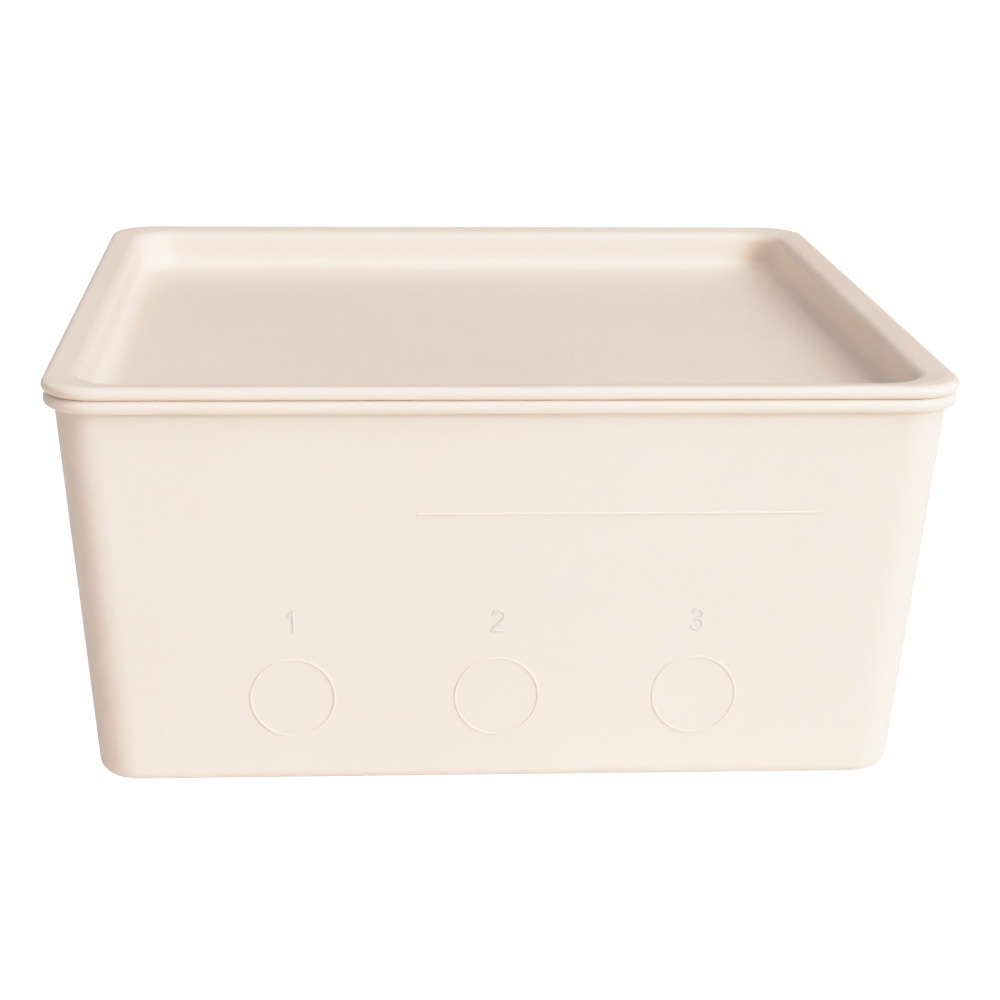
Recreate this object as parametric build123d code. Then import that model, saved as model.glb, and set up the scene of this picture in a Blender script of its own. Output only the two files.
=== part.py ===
from build123d import *
import os
from math import cos, radians, sin, tan

# A lidded, stackable feed box: a drafted square tub with a beaded rim, and a
# lid whose sunken tray plugs into the tub and takes the base of the box stacked
# on top. Sizes are in millimetres and angles in degrees. The origin is the
# centre of the base, +Z is up, and the marked front faces -Y.

# Overall sizes
lid_width = 300.0
rim_inset = 0.5             # the tub's rim stands this far inside the lid's, all round
tub_height = 136.1
draft = 4.56                # of the tub's walls, from the vertical
overhang = 4.1              # from the lid's edge in to the top of the tub's outer wall
wall = 2.7

# Tub
rim_thickness = 4.8
rim_corner = 18.0
rim_nose = 2.35             # rounding of the bead's outer edges
mouth_bevel = 0.7           # breaks the mouth's inner edge, which guides the lid in
wall_corner = 14.4
base_round = 5.0
floor_top = 3.0             # height of the inside floor
floor_round = 3.5           # fillet from the inside floor up into the walls
standing_band = 10.0        # width of the flat band that the tub stands on
base_recess = 0.8           # the underside inside that band is raised by this much
gate_well_radius = 7.0      # shallow well round the moulding gate, in the underside
gate_well_depth = 0.4
gate_radius = 1.6
gate_height = 0.3

# Relief on the front wall: a writing line, and rings to tick
relief = 0.4
relief_root = 0.5           # how far the relief reaches into the wall behind it
relief_draft = 26.0         # of the relief's sides, so that it leaves the mould
line_start = -28.9
line_end = 104.7
line_level = 96.6
line_stroke = 0.8
ring_radius = 14.0          # to the middle of its stroke
ring_stroke = 0.9
ring_level = 31.1
ring_centres = (-69.6, -1.4, 65.2)

# Lid
lid_rim_thickness = 4.3
lid_corner = 18.5
lid_nose = 2.1
lid_land = 0.6              # flat top of the rim, before it falls towards the tray
lid_fall_width = 9.6
lid_fall = 1.2
lid_mouth_round = 4.2       # rounding from the rim's top down into the tray
tray_depth = 16.0
tray_draft = 3.0
tray_corner = 15.0
tray_floor_round = 6.0
tray_floor_thickness = 2.3
plug_base_bevel = 4.8       # leads the lid in, and keeps its wall even round the tray floor's fillet
core_edge = 3.6             # from the lid's edge in to the groove that keeps its wall even
core_depth = 1.5
guide_reach = 2.3           # short ribs on the plug's walls, which centre it in the tub's mouth
guide_width = 2.0
guide_height = 10.0
guide_lead = 3.0            # slanted lower end of a rib
guide_spacing = 190.0

# Modelling allowances
cut_past = 5.0              # how far a cutting solid runs past the surface it opens
level_tolerance = 0.01
steep = 0.5                 # an edge that climbs more than this per unit is an upright one

# Worked out from the above
lid_half = lid_width / 2
rim_half = lid_half - rim_inset
wall_top = tub_height - rim_thickness
wall_slope = tan(radians(draft))
base_half = lid_half - overhang - wall_top * wall_slope
total_height = tub_height + lid_rim_thickness
tray_floor = total_height - tray_depth
tray_slope = tan(radians(tray_draft))
tray_mouth_half = lid_half - lid_nose - lid_land - lid_fall_width
tray_mouth_level = total_height - lid_fall
plug_bottom = tray_floor - tray_floor_thickness
plug_half = tray_mouth_half - (tray_mouth_level - plug_bottom) * tray_slope + wall


def is_upright(edge):
    """True for the slanted corner edges of a tapered block."""
    return abs((edge @ 1 - edge @ 0).normalized().Z) > steep


def tapered_block(half_at_bottom, bottom, top, angle, corner):
    """A square block, wider at the top, with flat sides and constant-radius corners."""
    height = top - bottom
    grow = height * tan(radians(angle))
    small = 2 * half_at_bottom
    large = small + 2 * grow
    wedge = Wedge(large, height, large, grow, grow, grow + small, grow + small)
    block = Pos(0, 0, (bottom + top) / 2) * Rot(X=-90) * wedge
    return fillet(block.edges().filter_by(is_upright), corner)


def edges_at(solid, level):
    """The edges that lie wholly at a level."""
    return solid.edges().filter_by_position(Axis.Z, level - level_tolerance, level + level_tolerance)


def flat_ring(solid, level):
    """The flat ring that lies at a level."""
    flats = solid.faces().filter_by(Plane.XY)
    rings = flats.filter_by_position(Axis.Z, level - level_tolerance, level + level_tolerance)
    return rings.sort_by(SortBy.AREA)[-1]


def inner_loop(solid, level):
    """The inner boundary of the flat ring that lies at a level."""
    return flat_ring(solid, level).inner_wires()[0].edges()


def bead_plate(half, corner, bottom, thickness, nose):
    """A square plate with rounded corners and a half-round outer edge."""
    outline = RectangleRounded(2 * half, 2 * half, corner)
    plate = extrude(Plane.XY.offset(bottom) * outline, thickness)
    return fillet(edges_at(plate, bottom) + edges_at(plate, bottom + thickness), nose)


def front_plane(across, level):
    """A plane on the front wall's outer face, its normal pointing out of the wall."""
    forward = base_half + level * wall_slope
    normal = (0, -cos(radians(draft)), -sin(radians(draft)))
    return Plane(origin=(across, -forward, level), x_dir=(1, 0, 0), z_dir=normal)


def make_line():
    """The writing line: a rib whose sides and ends are drafted."""
    height = relief_root + relief
    spread = height * tan(radians(relief_draft))
    length = line_end - line_start
    root = front_plane(line_start + length / 2, line_level).offset(-relief_root)
    crown = root.offset(height) * Rectangle(length - spread, line_stroke - spread)
    return loft([root * Rectangle(length + spread, line_stroke + spread), crown], ruled=True)


def make_ring(across):
    """A ring to tick, drafted inside and out."""
    height = relief_root + relief
    spread = height * tan(radians(relief_draft)) / 2
    outer = ring_radius + ring_stroke / 2
    inner = ring_radius - ring_stroke / 2
    ring = Cone(outer + spread, outer - spread, height)
    ring -= Cone(inner - spread, inner + spread, height)
    return front_plane(across, ring_level).offset((relief - relief_root) / 2).location * ring


def make_underside():
    """What is cut from the underside: the raised panel and the well round the gate."""
    panel_half = base_half - base_round - standing_band
    panel = extrude(RectangleRounded(2 * panel_half, 2 * panel_half, wall_corner), base_recess)
    well = extrude(Circle(gate_well_radius), base_recess + gate_well_depth)
    gate_end = Plane.XY.offset(base_recess - gate_height)
    return panel + well - extrude(gate_end * Circle(gate_radius), cut_past)


def make_tub():
    shell = tapered_block(base_half, 0, wall_top + rim_thickness / 2, draft, wall_corner)
    shell = fillet(edges_at(shell, 0), base_round)
    tub = shell + bead_plate(rim_half, rim_corner, wall_top, rim_thickness, rim_nose)

    cavity_half = base_half + floor_top * wall_slope - wall
    cavity = tapered_block(cavity_half, floor_top, tub_height + cut_past, draft, wall_corner - wall)
    tub -= fillet(edges_at(cavity, floor_top), floor_round)
    tub = chamfer(inner_loop(tub, tub_height), mouth_bevel)

    tub -= make_underside()
    tub += make_line()
    for across in ring_centres:
        tub += make_ring(across)
    return tub


def make_guide():
    """One centring rib, standing on the plug's wall at +X."""
    top = tub_height + core_depth
    foot = top - guide_height
    wall_at_top = plug_half + (top - plug_bottom) * tray_slope
    wall_at_foot = plug_half + (foot - plug_bottom) * tray_slope
    profile = Plane.XZ.offset(-guide_width / 2) * Polyline(
        (wall_at_foot - wall / 2, foot),
        (wall_at_foot, foot),
        (wall_at_foot + guide_reach, foot + guide_lead),
        (wall_at_top + guide_reach, top),
        (wall_at_top - wall / 2, top),
        close=True,
    )
    return extrude(make_face(profile), guide_width)


def make_lid():
    core_half = lid_half - core_edge
    core = RectangleRounded(2 * core_half, 2 * core_half, lid_corner - core_edge)
    rim = bead_plate(lid_half, lid_corner, tub_height, lid_rim_thickness, lid_nose)
    rim -= extrude(Plane.XY.offset(tub_height) * core, core_depth)

    plug_top = tub_height + lid_rim_thickness / 2
    plug = tapered_block(plug_half, plug_bottom, plug_top, tray_draft, tray_corner + wall)
    lid = rim + chamfer(edges_at(plug, plug_bottom), plug_base_bevel)
    for turn in range(0, 360, 90):
        for across in (-guide_spacing / 2, guide_spacing / 2):
            lid += Rot(Z=turn) * Pos(Y=across) * make_guide()

    floor_half = tray_mouth_half - (tray_mouth_level - tray_floor) * tray_slope
    tray = tapered_block(floor_half, tray_floor, total_height + cut_past, tray_draft, tray_corner)
    lid -= fillet(edges_at(tray, tray_floor), tray_floor_round)
    land = flat_ring(lid, total_height)
    lid = chamfer(inner_loop(lid, total_height), lid_fall_width, lid_fall, reference=land)
    return fillet(edges_at(lid, tray_mouth_level), lid_mouth_round)


os.makedirs("parts", exist_ok=True)
for name, solid in {"tub": make_tub(), "lid": make_lid()}.items():
    export_step(solid, f"parts/{name}.step")
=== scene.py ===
from math import asin, cos, exp, pi, radians, sin, tau

import bmesh
import bpy
from mathutils import Matrix, Vector
from mathutils.bvhtree import BVHTree


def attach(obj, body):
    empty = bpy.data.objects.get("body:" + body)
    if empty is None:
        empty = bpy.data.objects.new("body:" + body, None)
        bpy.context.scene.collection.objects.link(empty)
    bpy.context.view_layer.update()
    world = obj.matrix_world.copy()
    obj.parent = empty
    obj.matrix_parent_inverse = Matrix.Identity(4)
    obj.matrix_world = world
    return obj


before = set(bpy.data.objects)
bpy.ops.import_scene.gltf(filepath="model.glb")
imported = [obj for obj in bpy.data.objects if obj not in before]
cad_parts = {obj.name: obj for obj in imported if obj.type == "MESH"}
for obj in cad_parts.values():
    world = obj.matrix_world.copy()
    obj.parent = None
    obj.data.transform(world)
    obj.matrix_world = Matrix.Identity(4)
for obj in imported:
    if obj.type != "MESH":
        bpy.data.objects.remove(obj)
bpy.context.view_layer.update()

# Lengths are in metres. The box stands on z = 0 with its marked front facing -Y.
MM = 0.001

# Camera: it stands a little left of the middle, in front of the box and above it.
CAMERA_PLACE = Vector((-56.9, -874.4, 318.5)) * MM
CAMERA_PITCH = radians(15.78)
CAMERA_YAW = radians(-3.54)
CAMERA_ROLL = radians(-0.73)
CAMERA_LENS, CAMERA_SENSOR = 84.56, 36      # millimetres
CAMERA_SHIFT = (0.03, -0.03)
CAMERA_CLIP = (0.01, 50)

# Tones: plain up to the shoulder's start, then rolling off towards its end, as a camera's
SHOULDER_START, SHOULDER_END = 0.6, 1.02
SHOULDER_REACH = 4.0                        # the brightest light that the curve takes in
SHOULDER_STEPS = 24

# Softboxes, aimed at the middle of the box: the turn from the front towards +X and the rise above
# the floor, both in degrees, and the power in watts
SOFTBOXES = {
    "key": (44, 27, 140),
    "high_right": (45, 60, 57),
    "high_front": (10, 60, 32),
    "back_left": (-120, 30, 30),
}
SOFTBOX_AIM = Vector((0, 0, 80)) * MM
SOFTBOX_DISTANCE, SOFTBOX_SIZE = 4.0, 1.8
SOFTBOX_COLOUR = (1.0, 0.93, 0.95)
WORLD_STRENGTH = 0.07

# Studio: a round floor that bends up into a wall
COVE_RADIUS, COVE_BEND, COVE_HEIGHT = 8.0, 1.5, 4.5
BEND_STEPS, TURN_STEPS = 8, 64
COVE_GLOW = 2.0

NOISE_LOW, NOISE_HIGH = 0.3, 0.7            # the part of a noise's range that materials use

# Numerals on the front wall, one above each of the tub's rings
RING_MIDDLES = (-69.6 * MM, -1.4 * MM, 65.2 * MM)
DIGIT_LEVEL = 58.6 * MM
DIGIT_HEIGHT = 8.4 * MM
STROKE_WIDTH = 1.1 * MM
STROKE_RELIEF = 0.3 * MM                    # how far it stands out of the wall
STROKE_ROOT = 0.4 * MM                      # how far it reaches into the wall
ARC_STEP = 7.5                              # degrees
CROWN_STEPS, END_STEPS = 6, 10
MERGE_DISTANCE = 0.001 * MM
SHARP = radians(40)                         # an edge that turns by more than this is shaded as one


def add_object(name, data):
    thing = bpy.data.objects.new(name, data)
    bpy.context.scene.collection.objects.link(thing)
    return thing


def make_camera():
    data = bpy.data.cameras.new("camera")
    data.lens = CAMERA_LENS
    data.sensor_width = CAMERA_SENSOR
    data.shift_x, data.shift_y = CAMERA_SHIFT
    data.clip_start, data.clip_end = CAMERA_CLIP
    camera = add_object("camera", data)
    level = Matrix.Rotation(pi / 2, 4, "X")
    turn = Matrix.Rotation(CAMERA_YAW, 4, "Z") @ Matrix.Rotation(-CAMERA_PITCH, 4, "X")
    turn = turn @ Matrix.Rotation(CAMERA_ROLL, 4, "Y")
    camera.matrix_world = Matrix.Translation(CAMERA_PLACE) @ turn @ level
    bpy.context.scene.camera = camera


def soft_shoulder(light):
    """The tone that a light comes out as."""
    if light < SHOULDER_START:
        return light
    room = SHOULDER_END - SHOULDER_START
    return SHOULDER_START + room * (1 - exp((SHOULDER_START - light) / room))


def set_tones():
    view = bpy.context.scene.view_settings
    view.view_transform = "Standard"
    view.use_curve_mapping = True
    mapping = view.curve_mapping
    mapping.clip_max_x = SHOULDER_REACH
    mapping.clip_max_y = SHOULDER_REACH
    *_, all_colours = mapping.curves
    points = all_colours.points
    for point in list(points)[2:]:
        points.remove(point)
    points[0].location = (0, 0)
    points[1].location = (SHOULDER_REACH, soft_shoulder(SHOULDER_REACH))
    for step in range(1, SHOULDER_STEPS):
        light = SHOULDER_REACH * (step / SHOULDER_STEPS) ** 2
        points.new(light, soft_shoulder(light))
    mapping.update()


def make_world():
    world = bpy.data.worlds.new("studio")
    world.use_nodes = True
    background = world.node_tree.nodes["Background"]
    background.inputs["Color"].default_value = (1, 1, 1, 1)
    background.inputs["Strength"].default_value = WORLD_STRENGTH
    bpy.context.scene.world = world


def direction(turn, rise):
    """Unit vector out from the box: turn is from the front (-Y) towards +X, rise is above the floor."""
    return Vector((sin(turn) * cos(rise), -cos(turn) * cos(rise), sin(rise)))


def make_softbox(name, turn, rise, power):
    data = bpy.data.lights.new(name, "AREA")
    data.shape = "SQUARE"
    data.size = SOFTBOX_SIZE
    data.energy = power
    data.color = SOFTBOX_COLOUR
    softbox = add_object(name, data)
    out = direction(radians(turn), radians(rise))
    softbox.location = SOFTBOX_AIM + out * SOFTBOX_DISTANCE
    softbox.rotation_mode = "QUATERNION"
    softbox.rotation_quaternion = out.to_track_quat("Z", "Y")


def new_material(name):
    material = bpy.data.materials.new(name)
    material.use_nodes = True
    tree = material.node_tree
    tree.nodes.clear()
    shader = tree.nodes.new("ShaderNodeBsdfPrincipled")
    output = tree.nodes.new("ShaderNodeOutputMaterial")
    tree.links.new(shader.outputs["BSDF"], output.inputs["Surface"])
    return material, tree, shader


def noise(tree, scale, detail, roughness=0.5):
    coordinates = tree.nodes.new("ShaderNodeTexCoord")
    node = tree.nodes.new("ShaderNodeTexNoise")
    node.inputs["Scale"].default_value = scale
    node.inputs["Detail"].default_value = detail
    node.inputs["Roughness"].default_value = roughness
    tree.links.new(coordinates.outputs["Object"], node.inputs["Vector"])
    return node.outputs["Fac"]


def blend(tree, value, low, high):
    """A noise as a blend of two colours."""
    node = tree.nodes.new("ShaderNodeValToRGB")
    node.color_ramp.elements[0].position = NOISE_LOW
    node.color_ramp.elements[0].color = (*low, 1)
    node.color_ramp.elements[1].position = NOISE_HIGH
    node.color_ramp.elements[1].color = (*high, 1)
    tree.links.new(value, node.inputs["Fac"])
    return node.outputs["Color"]


def spread(tree, value, low, high):
    """A noise as a number between two others."""
    node = tree.nodes.new("ShaderNodeMapRange")
    node.inputs["From Min"].default_value = NOISE_LOW
    node.inputs["From Max"].default_value = NOISE_HIGH
    node.inputs["To Min"].default_value = low
    node.inputs["To Max"].default_value = high
    tree.links.new(value, node.inputs["Value"])
    return node.outputs["Result"]


def bump(tree, height, distance, strength, below=None):
    node = tree.nodes.new("ShaderNodeBump")
    node.inputs["Distance"].default_value = distance
    node.inputs["Strength"].default_value = strength
    tree.links.new(height, node.inputs["Height"])
    if below:
        tree.links.new(below, node.inputs["Normal"])
    return node.outputs["Normal"]


def ivory_plastic():
    """Warm ivory polypropylene, moulded in a finely etched tool."""
    material, tree, shader = new_material("ivory_plastic")
    cloud = noise(tree, scale=9, detail=3)
    colour = blend(tree, cloud, low=(0.84, 0.735, 0.63), high=(0.87, 0.77, 0.665))
    tree.links.new(colour, shader.inputs["Base Color"])
    gloss = spread(tree, noise(tree, scale=40, detail=4), low=0.42, high=0.5)
    tree.links.new(gloss, shader.inputs["Roughness"])
    waves = bump(tree, noise(tree, scale=22, detail=2), distance=0.25 * MM, strength=0.25)
    grain = noise(tree, scale=2600, detail=2, roughness=0.6)
    etching = bump(tree, grain, distance=0.02 * MM, strength=0.35, below=waves)
    tree.links.new(etching, shader.inputs["Normal"])
    shader.inputs["IOR"].default_value = 1.49
    shader.inputs["Subsurface Weight"].default_value = 0.45
    shader.inputs["Subsurface Radius"].default_value = (1.0, 0.6, 0.35)
    shader.inputs["Subsurface Scale"].default_value = 3 * MM
    return material


def studio_white():
    """White paint that also glows, so that the studio stays white where the softboxes' light falls off."""
    material, tree, shader = new_material("studio_white")
    cloud = noise(tree, scale=3, detail=2)
    colour = blend(tree, cloud, low=(0.88, 0.86, 0.83), high=(0.9, 0.88, 0.85))
    tree.links.new(colour, shader.inputs["Base Color"])
    shader.inputs["Roughness"].default_value = 0.8
    shader.inputs["Emission Color"].default_value = (1, 1, 1, 1)
    shader.inputs["Emission Strength"].default_value = COVE_GLOW
    return material


def skin(shape, rows):
    """The faces between closed rows of points."""
    faces = []
    for lower, upper in zip(rows, rows[1:]):
        for i in range(len(lower)):
            j = (i + 1) % len(lower)
            faces.append(shape.faces.new((lower[i], lower[j], upper[j], upper[i])))
    return faces


def finished_mesh(shape, name):
    mesh = bpy.data.meshes.new(name)
    shape.to_mesh(mesh)
    shape.free()
    return mesh


def dress(piece, material):
    piece.data.materials.clear()
    piece.data.materials.append(material)


def cove_profile():
    """The studio's section from the floor up, as (out from the middle, height)."""
    bend = []
    for step in range(BEND_STEPS + 1):
        angle = step / BEND_STEPS * pi / 2
        bend.append((COVE_RADIUS - COVE_BEND + COVE_BEND * sin(angle), COVE_BEND * (1 - cos(angle))))
    return bend + [(COVE_RADIUS, COVE_HEIGHT)]


def make_studio(material):
    """The white studio. Its glow is linked to the camera, so it lights no surface."""
    turns = [step / TURN_STEPS * tau for step in range(TURN_STEPS)]
    shape = bmesh.new()
    rings = []
    for out, height in cove_profile():
        rings.append([shape.verts.new((out * cos(turn), out * sin(turn), height)) for turn in turns])
    shape.faces.new(rings[0])
    for face in skin(shape, rings):
        face.smooth = True
    studio = add_object("studio", finished_mesh(shape, "studio"))
    dress(studio, material)
    lit_by_glow = bpy.data.collections.new("lit_by_glow")
    lit_by_glow.objects.link(bpy.context.scene.camera)
    studio.light_linking.receiver_collection = lit_by_glow


def arc(across, up, radius, start, end):
    """Points along an arc about (across, up), from one angle in degrees to another."""
    steps = round(abs(end - start) / ARC_STEP)
    angles = [radians(start + (end - start) * step / steps) for step in range(steps + 1)]
    return [(across + radius * cos(angle), up + radius * sin(angle)) for angle in angles]


# The middle lines of each numeral's two strokes, about the numeral's middle. Their height counts as 1.
NUMERALS = {
    "1": (
        [(0.05, -0.5), (0.05, 0.5)],
        [(-0.2, 0.29), (0.05, 0.5)],
    ),
    "2": (
        arc(0, 0.23, 0.27, 165, -42) + [(-0.29, -0.5)],
        [(-0.29, -0.5), (0.28, -0.5)],
    ),
    "3": (
        arc(-0.02, 0.26, 0.24, 155, -90) + [(-0.11, 0.02)],
        arc(-0.02, -0.24, 0.26, 72, -155),
    ),
}


def rib_section():
    """Half of a stroke's section, up and over its round crown, as (out from its middle, height)."""
    half = STROKE_WIDTH / 2
    radius = (half * half + STROKE_RELIEF * STROKE_RELIEF) / (2 * STROKE_RELIEF)
    turns = [asin(half / radius) * (1 - step / CROWN_STEPS) for step in range(CROWN_STEPS + 1)]
    crown = [(radius * sin(turn), STROKE_RELIEF - radius * (1 - cos(turn))) for turn in turns]
    return [(0, -STROKE_ROOT), (half, -STROKE_ROOT)] + crown


def round_end(point, side, way):
    """The walk round a stroke's end that runs that way, starting from that side."""
    turns = [pi * step / END_STEPS for step in range(1, END_STEPS)]
    return [(point, side * cos(turn) + way * sin(turn)) for turn in turns]


def around(line):
    """A walk round a stroke, as (point on its middle line, direction out of the stroke)."""
    points = [Vector((across, up, 0)) * (DIGIT_HEIGHT - STROKE_WIDTH) for across, up in line]
    runs = [(end - start).normalized() for start, end in zip(points, points[1:])]
    ways = [(before + after).normalized() for before, after in zip(runs[:1] + runs, runs + runs[-1:])]
    sides = [Vector((way.y, -way.x, 0)) for way in ways]
    there = list(zip(points, sides))
    far_end = round_end(points[-1], sides[-1], ways[-1])
    back = [(point, -side) for point, side in reversed(there)]
    near_end = round_end(points[0], -sides[0], -ways[0])
    return there + far_end + back + near_end


def make_stroke(line):
    """One stroke of a numeral as a closed rib that lies in the plane z = 0."""
    walk = around(line)
    shape = bmesh.new()
    rows = []
    for reach, height in rib_section():
        lift = Vector((0, 0, height))
        rows.append([shape.verts.new(point + out * reach + lift) for point, out in walk])
    skin(shape, rows)
    bmesh.ops.remove_doubles(shape, verts=shape.verts, dist=MERGE_DISTANCE)
    return add_object("stroke", finished_mesh(shape, "stroke"))


def joined(first, second):
    """The mesh of two strokes together. The strokes themselves are deleted."""
    union = first.modifiers.new("union", "BOOLEAN")
    union.operation = "UNION"
    union.object = second
    graph = bpy.context.evaluated_depsgraph_get()
    mesh = bpy.data.meshes.new_from_object(first.evaluated_get(graph))
    bpy.data.objects.remove(first)
    bpy.data.objects.remove(second)
    return mesh


def seat_on_front(across, level):
    """The place on the tub's front wall at that point: x along it, y up it, z out of it."""
    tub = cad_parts["tub"]
    tree = BVHTree.FromObject(tub, bpy.context.evaluated_depsgraph_get())
    hit, normal, _, _ = tree.ray_cast(Vector((across, -1, level)), Vector((0, 1, 0)))
    out = normal.normalized()
    along = Vector((1, 0, 0))
    up = out.cross(along)
    turn = Matrix((along, up, out)).transposed().to_4x4()
    return Matrix.Translation(hit) @ turn


def make_digit(text, across, material):
    """A numeral in relief on the front wall, its root inside the wall."""
    first, second = [make_stroke(line) for line in NUMERALS[text]]
    mesh = joined(first, second)
    mesh.transform(seat_on_front(across, DIGIT_LEVEL))
    mesh.shade_smooth()
    mesh.set_sharp_from_angle(angle=SHARP)
    digit = add_object("digit_" + text, mesh)
    dress(digit, material)
    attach(digit, "tub")


make_camera()
set_tones()
make_world()
for name, (turn, rise, power) in SOFTBOXES.items():
    make_softbox(name, turn, rise, power)
make_studio(studio_white())

ivory = ivory_plastic()
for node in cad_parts.values():
    dress(node, ivory)
for text, across in zip("123", RING_MIDDLES):
    make_digit(text, across, ivory)
